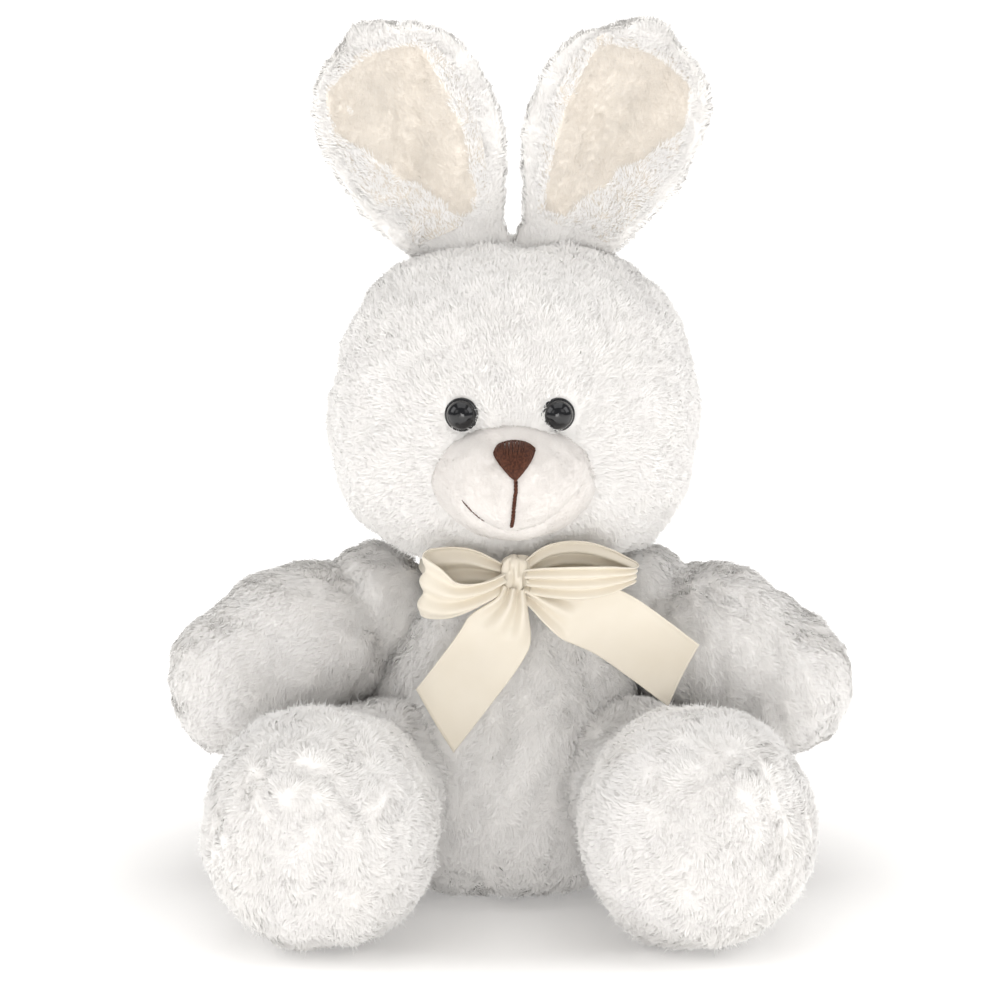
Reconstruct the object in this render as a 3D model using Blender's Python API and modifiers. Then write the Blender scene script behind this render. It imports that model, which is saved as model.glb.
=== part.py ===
"""Sitting plush bunny with a satin neck bow, modelled as its sewn pieces.

Units are metres, +Z is up, the seat rests on Z = 0 and the face looks along -Y.
"left" is the bunny's own left side (+X) and "right" its own right side (-X).
Every fur part is a fabric skin, open where it is sewn on, over its own stuffing.
"""
import math

import bmesh
import bpy
from mathutils import Matrix, Vector
from mathutils.bvhtree import BVHTree

GAP = 0.0004
SKIN = 0.0025
SIDES = {"left": 1, "right": -1}

# Turned outlines: (radius, height) in metres, from the top down.
BODY_OUTLINE = (
    (0.0, 0.109), (0.0054, 0.1083), (0.0105, 0.1062), (0.0148, 0.1028), (0.0182, 0.0985),
    (0.0203, 0.0934), (0.0250, 0.0880), (0.0305, 0.0800), (0.0355, 0.0695), (0.0400, 0.0575),
    (0.0450, 0.0455), (0.0485, 0.0330), (0.0488, 0.0210), (0.0455, 0.0105), (0.0390, 0.0035),
    (0.0300, 0.0), (0.0, 0.0),
)
HEAD_OUTLINE = (
    (0.0, 0.1915), (0.0180, 0.1903), (0.0310, 0.1860), (0.0420, 0.1775), (0.0490, 0.1635),
    (0.0525, 0.1500), (0.0533, 0.1390), (0.0515, 0.1270), (0.0475, 0.1165), (0.0390, 0.1075),
    (0.0260, 0.1028), (0.0120, 0.1012), (0.0, 0.1010),
)
HEAD_CENTRE = Vector((0.0012, -0.006, 0.0))
HEAD_DEPTH_RATIO = 0.87

NECK_PIVOT = Vector((0.0, 0.0, 0.088))
NECK_SOCKET_RADIUS = 0.0219

# Limbs: the pivot, the direction of the limb and its outline along that direction.
ARM_PIVOT = Vector((0.039, 0.0, 0.082))
ARM_END = Vector((0.081, -0.012, 0.0615))
ARM_ROOT_RADIUS = 0.017
ARM_OUTLINE = (
    (0.0, 0.0670), (0.0080, 0.0655), (0.0145, 0.0610), (0.0185, 0.0540), (0.0210, 0.0440),
    (0.0226, 0.0330), (0.0228, 0.0230), (0.0205, 0.0145), (0.0158, 0.0063), (0.0170, 0.0),
    (0.0154, -0.0072), (0.0110, -0.0130), (0.0055, -0.0161),
)
LEG_PIVOT = Vector((0.038, -0.031, 0.0335))
LEG_END = Vector((0.0545, -0.085, 0.0345))
LEG_ROOT_RADIUS = 0.024
LEG_OUTLINE = (
    (0.0212, 0.0765), (0.0258, 0.0725), (0.0302, 0.0655), (0.0330, 0.0560), (0.0335, 0.0460),
    (0.0318, 0.0340), (0.0280, 0.0210), (0.0230, 0.0090), (0.0240, 0.0), (0.0222, -0.0092),
    (0.0170, -0.0170), (0.0080, -0.0226),
)
SOLE_OUTLINE = ((0.0, 0.0813), (0.0080, 0.0809), (0.0150, 0.0795), (0.0208, 0.0771))
SOLE_THICKNESS = 0.002
TAIL_CENTRE = Vector((0.0, 0.056, 0.030))
TAIL_RADIUS = 0.015

EAR_LENGTH = 0.069
EAR_HALF_WIDTHS = (0.0125, 0.0158, 0.0196, 0.0223, 0.0236, 0.0238, 0.0222, 0.0176, 0.0080)
EAR_CUP_DEPTH = 0.0065
EAR_BACK_THICKNESS = 0.0035
EAR_LINING_THICKNESS = 0.0012
EAR_BASE_OFFSET = 0.0160
EAR_LEAN_DEG = {"left": 22.0, "right": 24.0}
EAR_PIVOT_HEIGHT = 0.1937

EYE_OFFSET = Vector((0.0142, 0.0, 0.1486))
EYE_YAW_DEG = 10.0
EYE_OUTLINE = (
    (0.0, 0.0038), (0.0019, 0.0035), (0.0035, 0.0025), (0.0045, 0.0010), (0.0048, 0.0),
    (0.0042, -0.0008), (0.0017, -0.0011), (0.0017, -0.0100), (0.0, -0.0100),
)
EYE_SEAT = 0.0014
SHANK_HOLE_RADIUS = 0.0022
WASHER_RADIUS = 0.006
WASHER_THICKNESS = 0.0012
WASHER_CLEARANCE = 0.0018

MUZZLE_CENTRE = Vector((0.0016, -0.046, 0.1295))
MUZZLE_RADII = Vector((0.0215, 0.021, 0.016))
MUZZLE_SKIN = 0.0015
NOSE_CORNERS = ((-0.0058, 0.1418), (0.0, 0.1436), (0.0058, 0.1418), (0.0, 0.1318))
MOUTH_LINE = ((0.0, 0.1312), (-0.0003, 0.1190))
SMILE_LINE = ((-0.0143, 0.1250), (-0.0128, 0.1226), (-0.0106, 0.1206), (-0.0080, 0.1190))
THREAD_WIDTH = 0.0012
STITCH_LIFT = 0.0010
NOSE_LIFT = 0.0018

RIBBON_WIDTH = 0.020
LOOP_WIDTH = 0.016
GATHERED_WIDTH = 0.35
GATHER_SHARE = 0.3
RIBBON_THICKNESS = 0.0006
KNOT_CENTRE = Vector((0.0025, -0.050, 0.1015))
KNOT_RADII = Vector((0.0055, 0.0045, 0.0062))
NECK_BAND_RADII = Vector((0.0255, 0.0355, 0.0))
NECK_BAND_CENTRE_Y = -0.0095
NECK_BAND_HEIGHT = (0.0962, 0.1002)


def clear_scene():
    """Start from an empty scene."""
    for obj in list(bpy.data.objects):
        bpy.data.objects.remove(obj, do_unlink=True)


def make_collection(name):
    """A collection linked to the scene."""
    collection = bpy.data.collections.new(name)
    bpy.context.scene.collection.children.link(collection)
    return collection


def make_material(name, colour, roughness, metallic=0.0, sheen=0.0):
    """A Principled material."""
    material = bpy.data.materials.new(name)
    material.use_nodes = True
    shader = material.node_tree.nodes["Principled BSDF"]
    shader.inputs["Base Color"].default_value = (*colour, 1.0)
    shader.inputs["Roughness"].default_value = roughness
    shader.inputs["Metallic"].default_value = metallic
    shader.inputs["Sheen Weight"].default_value = sheen
    return material


def mesh_from_bmesh(work, name="surface"):
    """Write a bmesh to a new mesh and free it."""
    mesh = bpy.data.meshes.new(name)
    work.to_mesh(mesh)
    work.free()
    return mesh


def frozen_mesh(obj):
    """The object's mesh with its modifiers applied, in world space; the object is removed."""
    depsgraph = bpy.context.evaluated_depsgraph_get()
    mesh = bpy.data.meshes.new_from_object(obj.evaluated_get(depsgraph))
    mesh.transform(obj.matrix_world)
    bpy.data.objects.remove(obj, do_unlink=True)
    return mesh


def welded(mesh):
    """A copy of a mesh without doubled vertices, its faces turned outward."""
    work = bmesh.new()
    work.from_mesh(mesh)
    bmesh.ops.remove_doubles(work, verts=work.verts, dist=0.000001)
    if not any(edge.is_boundary for edge in work.edges):
        bmesh.ops.recalc_face_normals(work, faces=work.faces)
    return mesh_from_bmesh(work)


def smooth_points(points, per_span):
    """Catmull-Rom points through the given ones."""
    points = [Vector(point) for point in points]
    ends = [2 * points[0] - points[1], *points, 2 * points[-1] - points[-2]]
    result = []
    for index in range(len(points) - 1):
        before, start, stop, after = ends[index:index + 4]
        for step in range(per_span):
            t = step / per_span
            result.append(0.5 * (
                2 * start
                + (stop - before) * t
                + (2 * before - 5 * start + 4 * stop - after) * t ** 2
                + (3 * start - before - 3 * stop + after) * t ** 3
            ))
    result.append(points[-1])
    return result


def turned_surface(outline, steps):
    """Turn an outline of (radius, height) points about Z."""
    mesh = bpy.data.meshes.new("outline")
    vertices = [(radius, 0.0, height) for radius, height in outline]
    edges = [(index, index + 1) for index in range(len(outline) - 1)]
    mesh.from_pydata(vertices, edges, [])
    spun = bpy.data.objects.new("outline", mesh)
    bpy.context.scene.collection.objects.link(spun)
    screw = spun.modifiers.new("Turn", "SCREW")
    screw.axis = "Z"
    screw.angle = math.tau
    screw.steps = steps
    screw.render_steps = steps
    screw.use_merge_vertices = True
    screw.merge_threshold = 0.00001
    return welded(frozen_mesh(spun))


def offset_surface(mesh, distance):
    """A copy of a surface moved along its normals, with any hole filled."""
    work = bmesh.new()
    work.from_mesh(mesh)
    work.normal_update()
    for vertex in work.verts:
        vertex.co += vertex.normal * distance
    rim = [edge for edge in work.edges if edge.is_boundary]
    if rim:
        bmesh.ops.holes_fill(work, edges=rim, sides=0)
    bmesh.ops.recalc_face_normals(work, faces=work.faces)
    return mesh_from_bmesh(work)


def ball_mesh(radii, centre, segments, rings):
    """An ellipsoid."""
    work = bmesh.new()
    bmesh.ops.create_uvsphere(work, u_segments=segments, v_segments=rings, radius=1.0)
    bmesh.ops.scale(work, vec=radii, verts=work.verts)
    bmesh.ops.translate(work, vec=centre, verts=work.verts)
    return mesh_from_bmesh(work)


def cylinder_mesh(radius, start, stop, segments):
    """A closed cylinder along Z from height start to height stop."""
    work = bmesh.new()
    bmesh.ops.create_cone(
        work, cap_ends=True, segments=segments,
        radius1=radius, radius2=radius, depth=stop - start,
    )
    bmesh.ops.translate(work, vec=(0.0, 0.0, (start + stop) / 2), verts=work.verts)
    return mesh_from_bmesh(work)


def surface_point(mesh, x, z):
    """The front point of a mesh at x and z."""
    work = bmesh.new()
    work.from_mesh(mesh)
    tree = BVHTree.FromBMesh(work)
    work.free()
    return tree.ray_cast(Vector((x, -1.0, z)), Vector((0.0, 1.0, 0.0)))[0]


def add_object(name, mesh, material, collection):
    """An object with its own smooth-shaded mesh and material."""
    mesh.name = name
    obj = bpy.data.objects.new(name, mesh)
    collection.objects.link(obj)
    if material is not None:
        mesh.materials.append(material)
    mesh.polygons.foreach_set("use_smooth", [True] * len(mesh.polygons))
    return obj


def add_cutter(name, mesh):
    """A hidden object that Booleans cut with."""
    cutter = add_object(name, mesh, None, bpy.data.collections["cutters"])
    cutter.hide_render = True
    cutter.display_type = "WIRE"
    return cutter


def add_boolean(obj, cutter, operation="DIFFERENCE"):
    """Cut the object with a cutter, or keep what both share."""
    boolean = obj.modifiers.new(cutter.name[:40], "BOOLEAN")
    boolean.operation = operation
    boolean.solver = "EXACT"
    boolean.object = cutter


def add_thickness(obj, thickness, offset):
    """Give an open surface thickness: offset -1 is inward and 1 outward."""
    solidify = obj.modifiers.new("Thickness", "SOLIDIFY")
    solidify.thickness = thickness
    solidify.offset = offset
    solidify.use_even_offset = True


def add_pivot(name, location, parent=None):
    """An empty on a joint's axis."""
    pivot = bpy.data.objects.new(name, None)
    bpy.data.collections["plush_bunny"].objects.link(pivot)
    pivot.empty_display_size = 0.02
    pivot.location = location
    if parent is not None:
        pivot.parent = parent
        pivot.location = Vector(location) - parent_location(parent)
    return pivot


def parent_location(obj):
    """World location of an unrotated chain of parents."""
    location = Vector((0.0, 0.0, 0.0))
    while obj is not None:
        location += obj.location
        obj = obj.parent
    return location


def hang_on(pivot, *objects):
    """Parent objects to a pivot and keep them where they are."""
    for obj in objects:
        obj.location -= parent_location(pivot)
        obj.parent = pivot


def aim(start, end):
    """Rotation that takes +Z to the direction from start to end, and +X down."""
    z_axis = (end - start).normalized()
    y_axis = z_axis.cross(Vector((0.0, 0.0, -1.0))).normalized()
    x_axis = y_axis.cross(z_axis)
    return Matrix((x_axis, y_axis, z_axis)).transposed().to_euler()


def mirrored(vector, side):
    """A point on the given side."""
    return Vector((vector.x * SIDES[side], vector.y, vector.z))


def build_body(parts, fur, filling):
    """The torso's skin and stuffing, with a socket for each limb and the tail."""
    surface = turned_surface(BODY_OUTLINE, 22)
    skin = add_object("body_skin", surface.copy(), fur, parts)
    add_thickness(skin, SKIN, -1.0)
    inner = offset_surface(surface, -(SKIN + GAP))
    stuffing = add_object("body_stuffing", inner, filling, parts)
    sockets = [("tail", TAIL_CENTRE, TAIL_RADIUS)]
    for side in SIDES:
        sockets.append(("arm_" + side, mirrored(ARM_PIVOT, side), ARM_ROOT_RADIUS))
        sockets.append(("leg_" + side, mirrored(LEG_PIVOT, side), LEG_ROOT_RADIUS))
    for name, centre, radius in sockets:
        room = radius * 1.02 + GAP
        mesh = ball_mesh(Vector((room, room, room)), centre, 20, 12)
        cutter = add_cutter("socket_" + name, mesh)
        add_boolean(skin, cutter)
        add_boolean(stuffing, cutter)


def build_limb(kind, side, pivot, end, outline, parts, fur, filling):
    """A limb's skin, open at its sewn root, and the stuffing inside it."""
    pivot = mirrored(pivot, side)
    end = mirrored(end, side)
    surface = turned_surface(outline, 16)
    skin = add_object(f"{kind}_skin_{side}", surface.copy(), fur, parts)
    add_thickness(skin, SKIN, -1.0)
    inner = offset_surface(surface, -(SKIN + GAP))
    stuffing = add_object(f"{kind}_stuffing_{side}", inner, filling, parts)
    for obj in (skin, stuffing):
        obj.location = pivot
        obj.rotation_euler = aim(pivot, end)


def build_soles(parts, fur):
    """The round panel that closes each foot."""
    surface = turned_surface(SOLE_OUTLINE, 16)
    for side in SIDES:
        sole = add_object("foot_sole_" + side, surface.copy(), fur, parts)
        add_thickness(sole, SOLE_THICKNESS, -1.0)
        sole.location = mirrored(LEG_PIVOT, side)
        sole.rotation_euler = aim(mirrored(LEG_PIVOT, side), mirrored(LEG_END, side))


def build_tail(parts, fur, filling):
    """A round tail, open where it is sewn to the body."""
    radii = Vector((TAIL_RADIUS, TAIL_RADIUS, TAIL_RADIUS))
    surface = ball_mesh(radii, Vector((0.0, 0.0, 0.0)), 14, 8)
    skin = add_object("tail_skin", surface.copy(), fur, parts)
    add_thickness(skin, SKIN, -1.0)
    stuffing = add_object("tail_stuffing", offset_surface(surface, -(SKIN + GAP)), filling, parts)
    opening = add_cutter("tail_opening", cylinder_mesh(0.005, -0.02, -0.008, 16))
    add_boolean(skin, opening)
    for obj in (skin, stuffing, opening):
        obj.location = TAIL_CENTRE
        obj.rotation_euler = (math.radians(-90.0), 0.0, 0.0)


def head_surface():
    """The head's outer shape, a little shallower than it is wide."""
    surface = turned_surface(HEAD_OUTLINE, 22)
    surface.transform(Matrix.Translation(HEAD_CENTRE) @ Matrix.Scale(
        HEAD_DEPTH_RATIO, 4, Vector((0.0, 1.0, 0.0))))
    return surface


def eye_places(surface):
    """Each eye's seat on the head and its rotation, whose +Z looks out of the face."""
    places = {}
    for side, sign in SIDES.items():
        seat = surface_point(surface, HEAD_CENTRE.x + sign * EYE_OFFSET.x, EYE_OFFSET.z)
        yaw = sign * math.radians(EYE_YAW_DEG)
        outward = Vector((math.sin(yaw), -math.cos(yaw), 0.0))
        places[side] = (seat, aim(seat, seat + outward), outward)
    return places


def build_head(surface, parts, fur, filling, plastic, clear_plastic):
    """The head's skin and stuffing, and its two eyes with their locking washers."""
    skin = add_object("head_skin", surface.copy(), fur, parts)
    add_thickness(skin, SKIN, -1.0)
    inner = offset_surface(surface, -(SKIN + GAP))
    stuffing = add_object("head_stuffing", inner, filling, parts)
    room = Vector((NECK_SOCKET_RADIUS, NECK_SOCKET_RADIUS, NECK_SOCKET_RADIUS))
    neck = add_cutter("neck_socket", ball_mesh(room, NECK_PIVOT, 24, 14))
    add_boolean(skin, neck)
    add_boolean(stuffing, neck)
    made = [skin, stuffing]
    for side, (seat, rotation, outward) in eye_places(surface).items():
        hole = add_cutter(
            "shank_hole_" + side, cylinder_mesh(SHANK_HOLE_RADIUS, -0.008, 0.004, 16))
        pocket = add_cutter(
            "washer_pocket_" + side, cylinder_mesh(WASHER_RADIUS + 0.0006, -0.014, 0.001, 20))
        eye = add_object("eye_" + side, turned_surface(EYE_OUTLINE, 16), plastic, parts)
        ring = turned_surface(
            (
                (SHANK_HOLE_RADIUS, WASHER_THICKNESS / 2), (WASHER_RADIUS, WASHER_THICKNESS / 2),
                (WASHER_RADIUS, -WASHER_THICKNESS / 2), (SHANK_HOLE_RADIUS, -WASHER_THICKNESS / 2),
                (SHANK_HOLE_RADIUS, WASHER_THICKNESS / 2),
            ), 16)
        washer = add_object("eye_washer_" + side, ring, clear_plastic, parts)
        for obj in (hole, pocket, eye, washer):
            obj.rotation_euler = rotation
            obj.location = seat
        eye.location = seat + outward * EYE_SEAT
        washer.location = seat - outward * (SKIN + WASHER_THICKNESS / 2 + WASHER_CLEARANCE)
        add_boolean(skin, hole)
        add_boolean(stuffing, pocket)
        made += [eye, washer]
    return made


def build_muzzle(surface, parts, velour, filling):
    """The muzzle's short-pile cover and its stuffing, both cut to the face."""
    face = add_cutter("face_envelope", offset_surface(surface, GAP))
    inner_radii = MUZZLE_RADII - Vector((1.0, 1.0, 1.0)) * MUZZLE_SKIN
    filling_radii = inner_radii - Vector((1.0, 1.0, 1.0)) * GAP
    inside = add_cutter("muzzle_inside", ball_mesh(inner_radii, MUZZLE_CENTRE, 20, 12))
    cover = add_object(
        "muzzle_skin", ball_mesh(MUZZLE_RADII, MUZZLE_CENTRE, 20, 12), velour, parts)
    add_boolean(cover, inside)
    add_boolean(cover, face)
    stuffing = add_object(
        "muzzle_stuffing", ball_mesh(filling_radii, MUZZLE_CENTRE, 20, 12), filling, parts)
    add_boolean(stuffing, face)
    return [cover, stuffing]


def thread_outline(line, width):
    """The outline of a thread of the given width laid along a line of (x, z) points."""
    line = smooth_points([(x, z, 0.0) for x, z in line], 3)
    left, right = [], []
    for index, point in enumerate(line):
        along = line[min(index + 1, len(line) - 1)] - line[max(index - 1, 0)]
        across = Vector((-along.y, along.x, 0.0)).normalized() * (width / 2)
        left.append(point + across)
        right.append(point - across)
    return [(point.x, point.y) for point in left + right[::-1]]


def outline_solid(outline):
    """A filled 2D curve through (x, z) points, as a solid that reaches through the muzzle."""
    curve = bpy.data.curves.new("outline", "CURVE")
    curve.dimensions = "2D"
    curve.fill_mode = "BOTH"
    curve.extrude = 0.02
    spline = curve.splines.new("POLY")
    spline.points.add(len(outline) - 1)
    for point, (x, z) in zip(spline.points, outline):
        point.co = (x, z, 0.0, 1.0)
    spline.use_cyclic_u = True
    obj = bpy.data.objects.new("outline", curve)
    bpy.context.scene.collection.objects.link(obj)
    mesh = welded(frozen_mesh(obj))
    front = Vector((MUZZLE_CENTRE.x, MUZZLE_CENTRE.y - 0.02, 0.0))
    mesh.transform(Matrix.Translation(front) @ Matrix.Rotation(math.radians(90.0), 4, "X"))
    return mesh


def build_stitching(parts, thread):
    """The embroidered nose and the mouth stitches, lying on the muzzle's cover."""
    ones = Vector((1.0, 1.0, 1.0))
    below = add_cutter(
        "stitch_underside", ball_mesh(MUZZLE_RADII + ones * GAP, MUZZLE_CENTRE, 28, 18))
    pieces = {
        "nose_embroidery": (NOSE_CORNERS, NOSE_LIFT),
        "mouth_stitch": (thread_outline(MOUTH_LINE, THREAD_WIDTH), STITCH_LIFT),
        "smile_stitch": (thread_outline(SMILE_LINE, THREAD_WIDTH * 0.7), STITCH_LIFT),
    }
    made = []
    for name, (outline, lift) in pieces.items():
        piece = add_object(name, outline_solid(outline), thread, parts)
        above = add_cutter(
            name + "_top", ball_mesh(MUZZLE_RADII + ones * (GAP + lift), MUZZLE_CENTRE, 28, 18))
        add_boolean(piece, above, "INTERSECT")
        add_boolean(piece, below)
        made.append(piece)
    return made


def ear_panel(length_range, width_scale, forward):
    """An ear panel as a grid that is cupped forward, with its base on the X axis."""
    rows = len(EAR_HALF_WIDTHS)
    work = bmesh.new()
    bmesh.ops.create_grid(work, x_segments=6, y_segments=rows - 1, size=1.0)
    for vertex in work.verts:
        row = round((vertex.co.y + 1) / 2 * (rows - 1))
        share = row / (rows - 1)
        start, stop = length_range
        height = EAR_LENGTH * (start + (stop - start) * share)
        across = vertex.co.x * EAR_HALF_WIDTHS[row] * width_scale
        if row == rows - 1:
            height -= 0.004 * vertex.co.x ** 2
        bend = EAR_CUP_DEPTH * min(1.0, 2.5 * height / EAR_LENGTH)
        depth = -bend * (across / max(EAR_HALF_WIDTHS)) ** 2 - forward
        vertex.co = Vector((across, depth, height))
    bmesh.ops.recalc_face_normals(work, faces=work.faces)
    work.normal_update()
    middle = sum((face.normal for face in work.faces), Vector())
    if middle.y > 0:
        bmesh.ops.reverse_faces(work, faces=work.faces)
    return mesh_from_bmesh(work)


def build_ear(side, head_pivot, parts, fur, velour):
    """An ear of a fur back and a smooth lining, sewn along its base."""
    sign = SIDES[side]
    pivot = add_pivot("ear_pivot_" + side, Vector((
        HEAD_CENTRE.x + sign * EAR_BASE_OFFSET, HEAD_CENTRE.y + 0.002, EAR_PIVOT_HEIGHT)))
    back_panel = ear_panel((0.0, 1.0), 1.0, EAR_BACK_THICKNESS / 2)
    back = add_object("ear_back_" + side, back_panel, fur, parts)
    add_thickness(back, EAR_BACK_THICKNESS, -1.0)
    lining_panel = ear_panel((0.04, 0.93), 0.8, EAR_BACK_THICKNESS / 2 + GAP + 0.0002)
    lining = add_object("ear_lining_" + side, lining_panel, velour, parts)
    add_thickness(lining, EAR_LINING_THICKNESS, 1.0)
    for obj in (back, lining):
        obj.parent = pivot
    pivot.rotation_euler = (0.0, sign * math.radians(EAR_LEAN_DEG[side]), 0.0)
    hang_on(head_pivot, pivot)


def build_neck_seam(turn_pivot, parts, thread):
    """The ring of sewing thread that draws up the neck and joins the head to the body."""
    outline = []
    for step in range(7):
        angle = -math.tau * step / 6
        outline.append((0.0196 + 0.0006 * math.cos(angle), 0.0984 + 0.0006 * math.sin(angle)))
    seam = add_object("neck_seam", turned_surface(outline, 24), thread, parts)
    hang_on(turn_pivot, seam)


def strip_surface(centres, acrosses, widths):
    """A ribbon surface: a row of three points across each centre."""
    work = bmesh.new()
    rows = []
    for centre, across, width in zip(centres, acrosses, widths):
        reach = across.normalized() * (width / 2)
        rows.append([work.verts.new(centre + reach * place) for place in (-1, 0, 1)])
    for row, following in zip(rows, rows[1:]):
        for index in range(2):
            work.faces.new((row[index], row[index + 1], following[index + 1], following[index]))
    return mesh_from_bmesh(work)


def build_strip(name, points, acrosses, width, gathered_ends, parts, satin):
    """A length of ribbon along a smooth line, gathered at one end (a tail) or both (a loop).

    acrosses are the directions of the ribbon's width at its start and at its end.
    """
    centres = smooth_points(points, 2)
    last = len(centres) - 1
    directions = []
    widths = []
    for index in range(len(centres)):
        share = index / last
        directions.append(Vector(acrosses[0]).lerp(Vector(acrosses[1]), share))
        from_knot = min(share, 1 - share) if gathered_ends == 2 else share
        opened = min(1.0, from_knot / GATHER_SHARE)
        widths.append(width * (GATHERED_WIDTH + (1 - GATHERED_WIDTH) * opened))
    strip = add_object(name, strip_surface(centres, directions, widths), satin, parts)
    add_thickness(strip, RIBBON_THICKNESS, 0.0)


def build_ribbon(parts, satin):
    """The satin ribbon: a band round the neck, a knot, two loops and two tails."""
    knot = ball_mesh(KNOT_RADII, KNOT_CENTRE, 16, 10)
    add_object("ribbon_knot", knot, satin, parts)

    low, high = NECK_BAND_HEIGHT
    band = turned_surface(((1.0, high), (1.0, low)), 32)
    scale = Matrix.Diagonal((NECK_BAND_RADII.x, NECK_BAND_RADII.y, 1.0, 1.0))
    band.transform(Matrix.Translation((0.0, NECK_BAND_CENTRE_Y, 0.0)) @ scale)
    band = add_object("ribbon_neck_band", band, satin, parts)
    add_thickness(band, RIBBON_THICKNESS, 0.0)

    build_strip(
        "ribbon_loop_right",
        (
            (-0.0042, -0.0520, 0.1010), (-0.0120, -0.0580, 0.1003), (-0.0205, -0.0580, 0.0996),
            (-0.0245, -0.0535, 0.0992), (-0.0205, -0.0490, 0.0990), (-0.0120, -0.0480, 0.0994),
            (-0.0045, -0.0492, 0.1005),
        ),
        ((0.15, 0.0, 1.0), (0.15, 0.0, 1.0)), LOOP_WIDTH, 2, parts, satin)
    build_strip(
        "ribbon_loop_left",
        (
            (0.0095, -0.0525, 0.1032), (0.0165, -0.0550, 0.1060), (0.0270, -0.0560, 0.1064),
            (0.0345, -0.0560, 0.1037), (0.0290, -0.0560, 0.1005), (0.0180, -0.0550, 0.0996),
            (0.0098, -0.0525, 0.1004),
        ),
        ((0.0, 1.0, 0.10), (0.0, 1.0, 0.10)), LOOP_WIDTH, 2, parts, satin)
    build_strip(
        "ribbon_tail_right",
        (
            (0.0010, -0.0515, 0.0948), (-0.0050, -0.0530, 0.0850), (-0.0135, -0.0525, 0.0740),
            (-0.0212, -0.0510, 0.0625),
        ),
        ((1.0, 0.0, -0.10), (0.84, 0.0, -0.55)), RIBBON_WIDTH, 1, parts, satin)
    build_strip(
        "ribbon_tail_left",
        (
            (0.0080, -0.0515, 0.0945), (0.0190, -0.0520, 0.0890), (0.0330, -0.0485, 0.0815),
            (0.0460, -0.0420, 0.0735),
        ),
        ((0.75, 0.0, 0.66), (0.50, 0.0, 0.86)), RIBBON_WIDTH, 1, parts, satin)


def main():
    """Build the bunny."""
    clear_scene()
    parts = make_collection("plush_bunny")
    make_collection("cutters")
    fur = make_material("white_fur", (0.89, 0.87, 0.84), 0.95, sheen=0.4)
    velour = make_material("cream_velour", (0.90, 0.83, 0.74), 0.85, sheen=0.3)
    muzzle_velour = make_material("white_velour", (0.91, 0.87, 0.83), 0.85, sheen=0.3)
    filling = make_material("polyester_filling", (0.92, 0.92, 0.91), 1.0)
    eye_plastic = make_material("black_plastic", (0.012, 0.012, 0.014), 0.12)
    washer_plastic = make_material("natural_plastic", (0.75, 0.75, 0.72), 0.45)
    brown_thread = make_material("brown_thread", (0.115, 0.038, 0.022), 0.6)
    white_thread = make_material("white_thread", (0.82, 0.80, 0.76), 0.7)
    satin = make_material("cream_satin", (0.88, 0.80, 0.64), 0.32)

    build_body(parts, fur, filling)
    for side in SIDES:
        build_limb("arm", side, ARM_PIVOT, ARM_END, ARM_OUTLINE, parts, fur, filling)
        build_limb("leg", side, LEG_PIVOT, LEG_END, LEG_OUTLINE, parts, fur, filling)
    build_soles(parts, fur)
    build_tail(parts, fur, filling)

    turn_pivot = add_pivot("head_turn_pivot", NECK_PIVOT)
    nod_pivot = add_pivot("head_nod_pivot", NECK_PIVOT, turn_pivot)
    build_neck_seam(turn_pivot, parts, white_thread)
    surface = head_surface()
    head_parts = build_head(surface, parts, fur, filling, eye_plastic, washer_plastic)
    head_parts += build_muzzle(surface, parts, muzzle_velour, filling)
    head_parts += build_stitching(parts, brown_thread)
    hang_on(nod_pivot, *head_parts)
    for side in SIDES:
        build_ear(side, nod_pivot, parts, fur, velour)
    build_ribbon(parts, satin)


main()
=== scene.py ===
"""Looks of the sitting plush bunny: pile fur, short velour, satin bow, stitched face and studio.

Units are metres in the CAD frame: +Z is up, the seat rests on Z = 0 and the face looks along -Y.
The pile is real geometry: each leaf of fibres is a thin kite rooted in its fabric.
"""
import itertools
import math

import bpy
import numpy as np
from mathutils import Matrix, Vector
from mathutils.bvhtree import BVHTree


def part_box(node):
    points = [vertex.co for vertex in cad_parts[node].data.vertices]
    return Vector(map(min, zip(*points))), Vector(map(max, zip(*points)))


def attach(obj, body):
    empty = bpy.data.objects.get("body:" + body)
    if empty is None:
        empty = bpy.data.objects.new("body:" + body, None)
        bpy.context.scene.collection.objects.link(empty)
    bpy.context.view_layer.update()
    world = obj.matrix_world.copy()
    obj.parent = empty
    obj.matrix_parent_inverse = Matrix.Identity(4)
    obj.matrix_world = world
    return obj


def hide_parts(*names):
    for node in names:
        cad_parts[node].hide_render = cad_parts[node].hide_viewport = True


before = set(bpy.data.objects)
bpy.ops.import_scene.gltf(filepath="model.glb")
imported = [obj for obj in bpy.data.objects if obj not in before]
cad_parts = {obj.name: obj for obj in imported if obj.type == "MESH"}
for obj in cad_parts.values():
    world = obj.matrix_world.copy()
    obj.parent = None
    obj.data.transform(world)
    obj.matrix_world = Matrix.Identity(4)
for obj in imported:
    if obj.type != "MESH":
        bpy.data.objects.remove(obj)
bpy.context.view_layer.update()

SIDES = {"left": 1.0, "right": -1.0}
FLOOR_CLEARANCE = 0.0003
DETAIL = 1.0

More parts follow.
